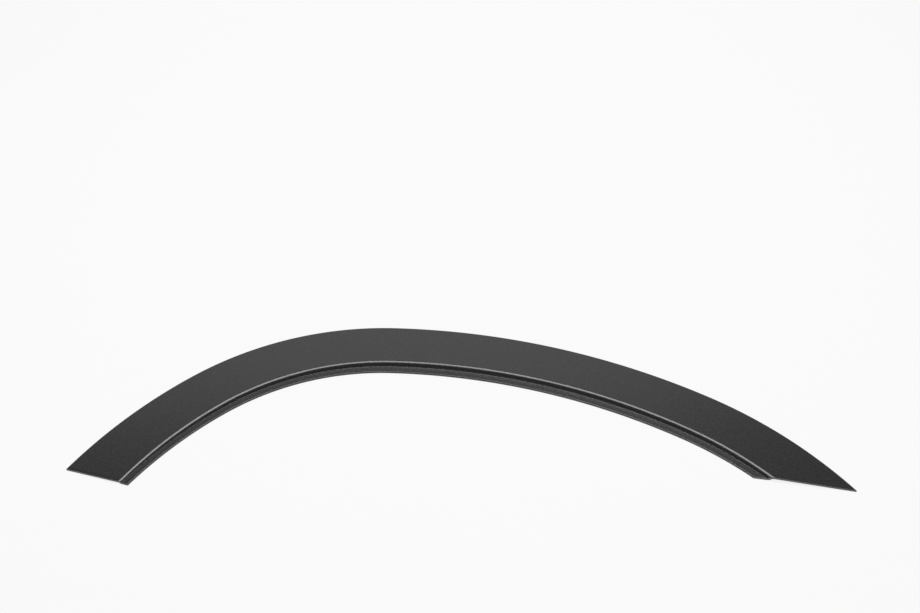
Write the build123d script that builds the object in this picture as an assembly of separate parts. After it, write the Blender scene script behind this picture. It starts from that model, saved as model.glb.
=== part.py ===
from build123d import *
import math
import os

# Formed sheet
THICKNESS = 2.0
WIDTH = 58.0
EDGE_BREAK = 0.4

# Opening edge of the arch: two tangent arcs each way from the crown
SHOULDER_RADIUS = 229.0
SHOULDER_ANGLE = 41.0
FRONT_RADIUS = 368.0
FRONT_SWEEP = 60.9
TOP_RADIUS = 564.0
TOP_ANGLE = 29.0
REAR_RADIUS = 322.0
REAR_SWEEP = 53.0

# Underside heights of the bead line and of the return lip inside it, and the bead's distance from the edge
FRONT_BEAD_HEIGHT = 0.9
CROWN_BEAD_HEIGHT = 4.0
REAR_BEAD_HEIGHT = 2.1
FRONT_LIP_HEIGHT = 0.2
CROWN_LIP_HEIGHT = 2.3
REAR_LIP_HEIGHT = 0.6
FRONT_RETURN = 7.5
CROWN_RETURN = 8.7
REAR_RETURN = 8.1
WALL_RUN = 1.2
BEAD_INNER_RADIUS = 1.4
ROOT_RADIUS = 0.8

# Hollow of the lip: share of its height reached halfway, and radius of the bend there
LIP_HALFWAY = 0.36
LIP_RADIUS = 14.0

# End cuts, as angles from the square section
FRONT_CUT = 15.0
REAR_CUT = 43.0
OVERRUN = 3.0
CUT_MARGIN = 1.5


def crossing(a, b, c, d):
    """Point where the line through a and b meets the line through c and d."""
    along = b - a
    other = d - c
    return a + along * ((c - a).cross(other).Z / along.cross(other).Z)


def section(bead_height, lip_height, return_width):
    """Sheet section. X runs outward from the opening edge and Y is height."""
    lip_width = return_width - WALL_RUN
    lower = [
        Vector(WIDTH, 0),
        Vector(return_width, bead_height),
        Vector(lip_width, lip_height),
        Vector(lip_width / 2, LIP_HALFWAY * lip_height),
        Vector(0, 0),
    ]
    upright = Vector(0, EDGE_BREAK)
    lines = [(lower[0], lower[0] + upright)]
    for a, b in zip(lower, lower[1:]):
        lift = (b - a).normalized().rotate(Axis.Z, -90) * THICKNESS
        lines.append((a + lift, b + lift))
    lines.append((lower[-1], lower[-1] + upright))
    rim, bead, root, bend, lip = [crossing(*a, *b) for a, b in zip(lines, lines[1:])]
    lip_break = lip + (bend - lip).normalized() * EDGE_BREAK
    rim_break = rim + (bead - rim).normalized() * EDGE_BREAK
    upper = [lip - upright, lip_break, bend, root, bead, rim_break, rim - upright]
    lower_radii = [0, BEAD_INNER_RADIUS, ROOT_RADIUS + THICKNESS, LIP_RADIUS + THICKNESS, 0]
    upper_radii = [0, 0, LIP_RADIUS, ROOT_RADIUS, BEAD_INNER_RADIUS + THICKNESS, 0, 0]
    return make_face(FilletPolyline(*lower, *upper, radius=lower_radii + upper_radii, close=True))


def station(point, heading):
    """Section plane square to the opening edge, with X outward and Y up."""
    return Plane(origin=point, x_dir=Axis.Z.direction.cross(heading), z_dir=heading)


def arch_side(side, first_radius, first_angle, second_radius, sweep_angle):
    """Arcs from the crown to one end, running past the end cut by the overrun."""
    first = JernArc((0, 0), (side, 0), first_radius, -side * first_angle)
    rest = sweep_angle + OVERRUN - first_angle
    second = JernArc(first @ 1, first % 1, second_radius, -side * rest)
    return first, second


def end_block(side, second, second_sweep, cut_angle):
    """Upright block that takes off what lies past an end cut through the outer corner."""
    at = second_sweep / (second_sweep + OVERRUN)
    plane = station(second @ at, side * (second % at))
    corner = plane.origin + plane.x_dir * WIDTH
    turn = math.radians(cut_angle)
    facing = plane.x_dir * math.sin(turn) - plane.z_dir * side * math.cos(turn)
    reach = CUT_MARGIN * WIDTH / math.cos(turn)
    block = Box(2 * reach, 2 * reach, reach, align=(Align.CENTER, Align.CENTER, Align.MAX))
    return Plane(origin=corner, z_dir=facing) * block


# Sweep the changing section along the arch, then cut both ends
shoulder, front = arch_side(-1, SHOULDER_RADIUS, SHOULDER_ANGLE, FRONT_RADIUS, FRONT_SWEEP)
top, rear = arch_side(1, TOP_RADIUS, TOP_ANGLE, REAR_RADIUS, REAR_SWEEP)
path = Wire([front.edge().reversed(), shoulder.edge().reversed(), top.edge(), rear.edge()])
sections = [
    station(front @ 1, -(front % 1)) * section(FRONT_BEAD_HEIGHT, FRONT_LIP_HEIGHT, FRONT_RETURN),
    station(top @ 0, top % 0) * section(CROWN_BEAD_HEIGHT, CROWN_LIP_HEIGHT, CROWN_RETURN),
    station(rear @ 1, rear % 1) * section(REAR_BEAD_HEIGHT, REAR_LIP_HEIGHT, REAR_RETURN),
]
trim = sweep(sections, path=path, multisection=True)
trim -= end_block(-1, front, FRONT_SWEEP - SHOULDER_ANGLE, FRONT_CUT)
trim -= end_block(1, rear, REAR_SWEEP - TOP_ANGLE, REAR_CUT)

# Origin under the middle of the trim as it lies face up
box = trim.bounding_box()
wheel_arch_trim = Pos(-box.center().X, -box.center().Y, -box.min.Z) * trim
wheel_arch_trim.label = "wheel_arch_trim"

os.makedirs("parts", exist_ok=True)
export_step(wheel_arch_trim, "parts/wheel_arch_trim.step")
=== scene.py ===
import math
import bpy
import numpy as np
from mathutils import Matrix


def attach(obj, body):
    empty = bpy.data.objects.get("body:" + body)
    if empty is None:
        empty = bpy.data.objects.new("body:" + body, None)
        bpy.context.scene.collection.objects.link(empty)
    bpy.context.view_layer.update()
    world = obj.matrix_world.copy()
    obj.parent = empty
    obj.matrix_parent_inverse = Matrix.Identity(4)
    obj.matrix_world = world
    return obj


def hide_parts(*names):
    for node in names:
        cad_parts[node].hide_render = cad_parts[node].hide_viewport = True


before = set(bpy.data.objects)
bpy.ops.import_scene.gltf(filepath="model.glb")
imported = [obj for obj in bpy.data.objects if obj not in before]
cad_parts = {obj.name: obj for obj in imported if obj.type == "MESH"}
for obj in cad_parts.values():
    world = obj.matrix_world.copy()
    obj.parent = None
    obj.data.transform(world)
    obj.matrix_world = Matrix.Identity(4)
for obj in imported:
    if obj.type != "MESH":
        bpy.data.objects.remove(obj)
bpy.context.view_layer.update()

# Formed sheet, in metres
THICKNESS = 0.0020
WIDTH = 0.058
RIM_ROUND = 0.0005
BASE_ROUND = 0.0002
CUT_ROUND = 0.00015

# Opening edge of the arch: two tangent arcs each way from the crown
SHOULDER_RADIUS = 0.229
SHOULDER_ANGLE = math.radians(41)
FRONT_RADIUS = 0.368
FRONT_SWEEP = math.radians(60.9)
TOP_RADIUS = 0.564
TOP_ANGLE = math.radians(29)
REAR_RADIUS = 0.322
REAR_SWEEP = math.radians(53)
OVERRUN = math.radians(3)
SIDES = {
    -1: (SHOULDER_RADIUS, SHOULDER_ANGLE, FRONT_RADIUS, FRONT_SWEEP),
    1: (TOP_RADIUS, TOP_ANGLE, REAR_RADIUS, REAR_SWEEP),
}

# Underside heights of the bead line and the return lip and the bead's distance from the edge, front to rear
BEAD_HEIGHTS = (0.0009, 0.0040, 0.0021)
LIP_HEIGHTS = (0.00003, 0.00035, 0.00009)
RETURNS = (0.0077, 0.0096, 0.0093)
WALL_RUN = 0.0016
BEAD_INNER_RADIUS = 0.0026
ROOT_RADIUS = 0.0002

# Hollow of the lip: share of its height reached halfway, and radius of the bend there
LIP_HALFWAY = 0.36
LIP_RADIUS = 0.014

# End cuts, as angles from the square section
CUT_ANGLES = {-1: math.radians(15), 1: math.radians(44.4)}

# Mesh density: rows along the trim, stations of each side, and steps over a section's roundings and flats
ROWS = 260
STATIONS = 240
CUT_STEPS = 3
RIM_STEPS = 4
BASE_STEPS = 2
BEAD_STEPS = 14
BEND_STEPS = 6
FACE_STEPS = 30
UNDERSIDE_STEPS = 24
SHORT_STEPS = 4

# Camera as it stands to the trim in the photograph
CAMERA_HEIGHT = 0.9179
CAMERA_BACK = 0.7680
CAMERA_SIDE = -0.0020
CAMERA_DOWN = math.radians(45.5)
CAMERA_TURN = math.radians(2.198)
CAMERA_LENS = 50.0
SENSOR_WIDTH = 36.0

# Studio
FLOOR_REACH = 40.0
FLOOR_COLOUR = (0.96, 0.96, 0.96, 1)
FLOOR_GLOW = 0.86
BACKDROP_DISTANCE = 1.8
BACKDROP_HALF_WIDTH = 1.7
BACKDROP_LEFT_TOP = 2.08
BACKDROP_RIGHT_TOP = 1.38
KEY_BEHIND = 0.35
KEY_HEIGHT = 1.65
KEY_SIZE = 0.9
KEY_POWER = 19.8
ROOM_LEVEL = 0.1
WHITE = (1, 1, 1, 1)

# Finish of the sheet and of its sawn edges: speckle, patch and grain are noise scales, depth is the grain's
PLASTIC_IOR = 1.58
NOISE_DETAIL = 3.0
NOISE_SPAN = (0.3, 0.7)
SHEET_FINISH = {
    "tones": ((0.021, 0.021, 0.0215), (0.036, 0.036, 0.037)),
    "speckle": 1000.0,
    "roughness": (0.24, 0.29),
    "patch": 420.0,
    "grain": 900.0,
    "depth": 0.00004,
}
# Sawn edge tones: partly the real paler cut, partly painted light lifting it for the front fill light the
# studio lacks
CUT_FINISH_AND_PAINTED_LIGHT = {
    "tones": ((0.18, 0.18, 0.18), (0.28, 0.28, 0.28)),
    "speckle": 300.0,
    "roughness": (0.5, 0.7),
    "patch": 900.0,
    "grain": 1800.0,
    "depth": 0.00004,
}


def arch_point(side, angle):
    """Point and outward direction of the opening edge at an angle from the crown."""
    first, turn, second, _ = SIDES[side]
    out = np.array([side * math.sin(angle), math.cos(angle)])
    knee = np.array([side * math.sin(turn), math.cos(turn)])
    centre = np.array([0.0, -first])
    if angle <= turn:
        return centre + first * out, out
    return centre + (first - second) * knee + second * out, out


def arch_length(side, angle):
    """Length of the opening edge from the crown to an angle."""
    first, turn, second, _ = SIDES[side]
    return first * min(angle, turn) + second * max(angle - turn, 0.0)


def through_three(values, share, crown):
    """Smooth run of a size through its values at the front end, the crown and the rear end."""
    at_front = (share - crown) * (share - 1) / crown
    at_crown = share * (share - 1) / (crown * (crown - 1))
    at_rear = share * (share - crown) / (1 - crown)
    return values[0] * at_front + values[1] * at_crown + values[2] * at_rear


def unit(vector):
    """The same direction with a length of one."""
    return vector / np.linalg.norm(vector)


def crossing(a, b, c, d):
    """Point where the line through a and b meets the line through c and d."""
    along = b - a
    other = d - c
    gap = c - a
    share = (gap[0] * other[1] - gap[1] * other[0]) / (along[0] * other[1] - along[1] * other[0])
    return a + along * share


def rounded_outline(corners):
    """Points and outward normals of a closed outline of (corner, radius, arc steps, line steps)."""
    arcs = []
    for i, (corner, radius, _, _) in enumerate(corners):
        before = unit(corners[i - 1][0] - corner)
        after = unit(corners[(i + 1) % len(corners)][0] - corner)
        half = 0.5 * math.acos(before @ after)
        reach = radius / math.tan(half)
        centre = corner + unit(before + after) * radius / math.sin(half)
        arcs.append((corner + before * reach, corner + after * reach, centre))
    points = []
    normals = []
    for i, (_, radius, arc_steps, line_steps) in enumerate(corners):
        start, stop, centre = arcs[i]
        first = math.atan2(start[1] - centre[1], start[0] - centre[0])
        last = math.atan2(stop[1] - centre[1], stop[0] - centre[0])
        sweep = (last - first + math.pi) % (2 * math.pi) - math.pi
        for k in range(arc_steps + 1):
            angle = first + sweep * k / arc_steps
            spoke = np.array([math.cos(angle), math.sin(angle)])
            points.append(centre + radius * spoke)
            normals.append(math.copysign(1, sweep) * spoke)
        run = arcs[(i + 1) % len(corners)][0] - stop
        side = unit(np.array([run[1], -run[0]]))
        for k in range(1, line_steps):
            points.append(stop + run * 0.5 * (1 - math.cos(math.pi * k / line_steps)))
            normals.append(side)
    return np.array(points), np.array(normals)


def section(bead_height, lip_height, return_width):
    """Sheet section: first value runs outward from the opening edge, second is height."""
    lip_width = return_width - WALL_RUN
    bead = (return_width, bead_height)
    root = (lip_width, lip_height)
    bend = (lip_width / 2, LIP_HALFWAY * lip_height)
    lower = [np.array(point) for point in ((WIDTH, 0.0), bead, root, bend, (0.0, 0.0))]
    upright = np.array([0.0, 1.0])
    lines = [(lower[0], lower[0] + upright)]
    for a, b in zip(lower, lower[1:]):
        run = unit(b - a)
        lift = np.array([run[1], -run[0]]) * THICKNESS
        lines.append((a + lift, b + lift))
    lines.append((lower[-1], lower[-1] + upright))
    upper = [crossing(*a, *b) for a, b in zip(lines, lines[1:])]
    return rounded_outline([
        (upper[0], RIM_ROUND, RIM_STEPS, FACE_STEPS),
        (upper[1], BEAD_INNER_RADIUS + THICKNESS, BEAD_STEPS, SHORT_STEPS),
        (upper[2], ROOT_RADIUS, BEND_STEPS, SHORT_STEPS),
        (upper[3], LIP_RADIUS, BEND_STEPS, SHORT_STEPS),
        (upper[4], RIM_ROUND, RIM_STEPS, SHORT_STEPS),
        (lower[4], BASE_ROUND, BASE_STEPS, SHORT_STEPS),
        (lower[3], LIP_RADIUS + THICKNESS, BEND_STEPS, SHORT_STEPS),
        (lower[2], ROOT_RADIUS + THICKNESS, BEND_STEPS, SHORT_STEPS),
        (lower[1], BEAD_INNER_RADIUS, BEND_STEPS, UNDERSIDE_STEPS),
        (lower[0], BASE_ROUND, BASE_STEPS, SHORT_STEPS),
    ])


def swept_lines():
    """Points and normals of every section line at each station from the front end to the rear end."""
    front = SIDES[-1][3] + OVERRUN
    rear = SIDES[1][3] + OVERRUN
    stops = [(-1, angle) for angle in np.linspace(front, 0, STATIONS)]
    stops += [(1, angle) for angle in np.linspace(0, rear, STATIONS)[1:]]
    before = arch_length(-1, front)
    total = before + arch_length(1, rear)
    crown = before / total
    changing = (BEAD_HEIGHTS, LIP_HEIGHTS, RETURNS)
    points = []
    normals = []
    for side, angle in stops:
        share = (before + side * arch_length(side, angle)) / total
        at, out = arch_point(side, angle)
        profile, facing = section(*[through_three(values, share, crown) for values in changing])
        points.append(np.column_stack([at + np.outer(profile[:, 0], out), profile[:, 1]]))
        normals.append(np.column_stack([np.outer(facing[:, 0], out), facing[:, 1]]))
    return np.array(points), np.array(normals)


def cut_plane(side):
    """Point on an end cut and the direction from it into the trim."""
    at, out = arch_point(side, SIDES[side][3])
    away = np.array([side * out[1], -side * out[0]])
    turn = CUT_ANGLES[side]
    inward = out * math.sin(turn) - away * math.cos(turn)
    return np.append(at + out * WIDTH, 0.0), np.append(inward, 0.0)


def at_depth(points, plane, depth, span):
    """Station, as a fraction of the list, where each section line is that deep inside an end cut."""
    corner, inward = plane
    depths = (points[span] - corner) @ inward
    stations = np.arange(len(points))[span]
    order = slice(None) if depths[-1, 0] > depths[0, 0] else slice(None, None, -1)
    return np.array([np.interp(depth, line[order], stations[order]) for line in depths.T])


def along_lines(values, stations):
    """Values of every section line at its own station."""
    whole = np.clip(stations.astype(int), 0, len(values) - 2)
    part = (stations - whole)[:, None]
    line = np.arange(values.shape[1])
    return values[whole, line] * (1 - part) + values[whole + 1, line] * part


def cut_rows(points, normals, side, span):
    """Rows from the flat of an end cut over its rounded edge, and the stations where they leave it."""
    plane = cut_plane(side)
    rows = []
    for k in range(CUT_STEPS + 1):
        angle = 0.5 * math.pi * (1 - k / CUT_STEPS)
        stations = at_depth(points, plane, CUT_ROUND * (1 - math.sin(angle)), span)
        facing = along_lines(normals, stations)
        facing = facing - np.outer(facing @ plane[1], plane[1])
        facing = facing / np.linalg.norm(facing, axis=1)[:, None]
        rows.append(along_lines(points, stations) - facing * CUT_ROUND * (1 - math.cos(angle)))
    return rows, stations


def trim_rows():
    """Every row of the trim's mesh, from the front cut to the rear cut, centred as it lies face up."""
    points, normals = swept_lines()
    crown = STATIONS - 1
    front_rows, first = cut_rows(points, normals, -1, slice(0, crown))
    rear_rows, last = cut_rows(points, normals, 1, slice(crown, None))
    shares = np.linspace(0, 1, ROWS + 1)[1:-1]
    middle = [along_lines(points, first + (last - first) * share) for share in shares]
    rows = np.array(front_rows + middle + rear_rows[::-1])
    low = rows.min(axis=(0, 1))
    high = rows.max(axis=(0, 1))
    return rows - np.array([(low[0] + high[0]) / 2, (low[1] + high[1]) / 2, low[2]])


def add_object(name, data):
    """A new object in the scene."""
    added = bpy.data.objects.new(name, data)
    bpy.context.scene.collection.objects.link(added)
    return added


def make_trim():
    """The trim as one closed skin of quads with a cap on each end cut."""
    rows = trim_rows()
    count, around = rows.shape[:2]
    faces = []
    for i in range(count - 1):
        for k in range(around):
            after = (k + 1) % around
            faces.append((i * around + k, (i + 1) * around + k, (i + 1) * around + after, i * around + after))
    caps = [list(range(around)), [(count - 1) * around + k for k in reversed(range(around))]]
    mesh = bpy.data.meshes.new("arch_sheet")
    mesh.from_pydata(rows.reshape(-1, 3).tolist(), [], faces + caps)
    mesh.update()
    mesh.materials.append(black_sheet())
    mesh.materials.append(cut_edge())
    # The sawn edge, whose paler tone is partly painted light, is the caps and the rounded rows beside them
    edge = CUT_STEPS * around
    for face in mesh.polygons:
        face.use_smooth = len(face.vertices) == 4
        face.material_index = int(not edge <= face.index < len(faces) - edge)
    trim = add_object("arch_sheet", mesh)
    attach(trim, "root")
    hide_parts("wheel_arch_trim")


def nodes_of(name):
    """A new node material with its node and link makers."""
    material = bpy.data.materials.new(name)
    material.use_nodes = True
    tree = material.node_tree
    tree.nodes.clear()
    return material, tree.nodes, tree.links


def plastic(name, finish):
    """Plastic with a speckled tone, an uneven gloss and a fine grain."""
    material, nodes, links = nodes_of(name)
    output = nodes.new("ShaderNodeOutputMaterial")
    shader = nodes.new("ShaderNodeBsdfPrincipled")
    shader.inputs["IOR"].default_value = PLASTIC_IOR
    links.new(shader.outputs["BSDF"], output.inputs["Surface"])
    place = nodes.new("ShaderNodeTexCoord")

    def noise(scale):
        node = nodes.new("ShaderNodeTexNoise")
        node.inputs["Scale"].default_value = scale
        node.inputs["Detail"].default_value = NOISE_DETAIL
        links.new(place.outputs["Object"], node.inputs["Vector"])
        return node.outputs["Fac"]

    tone = nodes.new("ShaderNodeValToRGB")
    for end, position, colour in zip(tone.color_ramp.elements, NOISE_SPAN, finish["tones"]):
        end.position = position
        end.color = (*colour, 1)
    links.new(noise(finish["speckle"]), tone.inputs["Fac"])
    links.new(tone.outputs["Color"], shader.inputs["Base Color"])

    gloss = nodes.new("ShaderNodeMapRange")
    for socket, value in zip(("From Min", "From Max", "To Min", "To Max"), NOISE_SPAN + finish["roughness"]):
        gloss.inputs[socket].default_value = value
    links.new(noise(finish["patch"]), gloss.inputs["Value"])
    links.new(gloss.outputs["Result"], shader.inputs["Roughness"])

    bump = nodes.new("ShaderNodeBump")
    bump.inputs["Strength"].default_value = 1.0
    bump.inputs["Distance"].default_value = finish["depth"]
    links.new(noise(finish["grain"]), bump.inputs["Height"])
    links.new(bump.outputs["Normal"], shader.inputs["Normal"])
    return material


def black_sheet():
    """Satin black formed face with a very fine grain."""
    return plastic("black_sheet", SHEET_FINISH)


def cut_edge():
    """Matt sawn edge of the sheet, paler partly as a real cut edge and partly as painted light standing in
    for front fill light on the cut faces.
    """
    return plastic("cut_edge", CUT_FINISH_AND_PAINTED_LIGHT)


def floor_white():
    """Pale studio floor that stays white to the eye and keeps a soft shadow."""
    material, nodes, links = nodes_of("floor_white")
    output = nodes.new("ShaderNodeOutputMaterial")
    blend = nodes.new("ShaderNodeMixShader")
    plain = nodes.new("ShaderNodeBsdfDiffuse")
    plain.inputs["Color"].default_value = FLOOR_COLOUR
    white = nodes.new("ShaderNodeEmission")
    white.inputs["Color"].default_value = WHITE
    white.inputs["Strength"].default_value = 1.0
    path = nodes.new("ShaderNodeLightPath")
    seen = path.outputs["Is Camera Ray"]
    for ray in ("Is Glossy Ray", "Is Transmission Ray"):
        either = nodes.new("ShaderNodeMath")
        either.operation = "MAXIMUM"
        links.new(seen, either.inputs[0])
        links.new(path.outputs[ray], either.inputs[1])
        seen = either.outputs["Value"]
    share = nodes.new("ShaderNodeMath")
    share.operation = "MULTIPLY"
    share.inputs[1].default_value = FLOOR_GLOW
    links.new(seen, share.inputs[0])
    links.new(share.outputs["Value"], blend.inputs["Fac"])
    links.new(plain.outputs["BSDF"], blend.inputs[1])
    links.new(white.outputs["Emission"], blend.inputs[2])
    links.new(blend.outputs["Shader"], output.inputs["Surface"])
    return material


def make_sheet(name, corners, material):
    """Flat four-cornered piece of the studio."""
    mesh = bpy.data.meshes.new(name)
    mesh.from_pydata(corners, [], [(0, 1, 2, 3)])
    mesh.materials.append(material)
    add_object(name, mesh)


def make_studio():
    """Wide pale floor under the trim and a white backdrop behind it, higher on the left."""
    white = floor_white()
    far = FLOOR_REACH
    make_sheet("floor", [(-far, -far, 0), (far, -far, 0), (far, far, 0), (-far, far, 0)], white)
    half, back = BACKDROP_HALF_WIDTH, BACKDROP_DISTANCE
    tops = [(half, back, BACKDROP_RIGHT_TOP), (-half, back, BACKDROP_LEFT_TOP)]
    make_sheet("backdrop", [(-half, back, 0), (half, back, 0)] + tops, white)


def make_key():
    """Large soft lamp overhead, a little behind the trim and turned to it."""
    lamp = bpy.data.lights.new("key", "AREA")
    lamp.shape = "SQUARE"
    lamp.size = KEY_SIZE
    lamp.energy = KEY_POWER
    holder = add_object("key", lamp)
    holder.location = (0, KEY_BEHIND, KEY_HEIGHT)
    holder.rotation_euler = (-math.atan2(KEY_BEHIND, KEY_HEIGHT), 0, 0)


def make_room():
    """Even dim light from all round."""
    world = bpy.data.worlds.new("room")
    bpy.context.scene.world = world
    world.use_nodes = True
    nodes = world.node_tree.nodes
    links = world.node_tree.links
    nodes.clear()
    output = nodes.new("ShaderNodeOutputWorld")
    shade = nodes.new("ShaderNodeBackground")
    shade.inputs["Color"].default_value = WHITE
    shade.inputs["Strength"].default_value = ROOM_LEVEL
    links.new(shade.outputs["Background"], output.inputs["Surface"])


def make_camera():
    """Camera at the photograph's place and angle."""
    lens = bpy.data.cameras.new("camera")
    lens.lens = CAMERA_LENS
    lens.sensor_width = SENSOR_WIDTH
    lens.sensor_fit = "HORIZONTAL"
    camera = add_object("camera", lens)
    turn, side, back = CAMERA_TURN, CAMERA_SIDE, -CAMERA_BACK
    camera.location = (
        side * math.cos(turn) - back * math.sin(turn),
        side * math.sin(turn) + back * math.cos(turn),
        CAMERA_HEIGHT,
    )
    camera.rotation_euler = (math.pi / 2 - CAMERA_DOWN, 0, turn)
    bpy.context.scene.camera = camera


make_trim()
make_studio()
make_room()
make_key()
make_camera()
bpy.context.scene.view_settings.view_transform = "Standard"
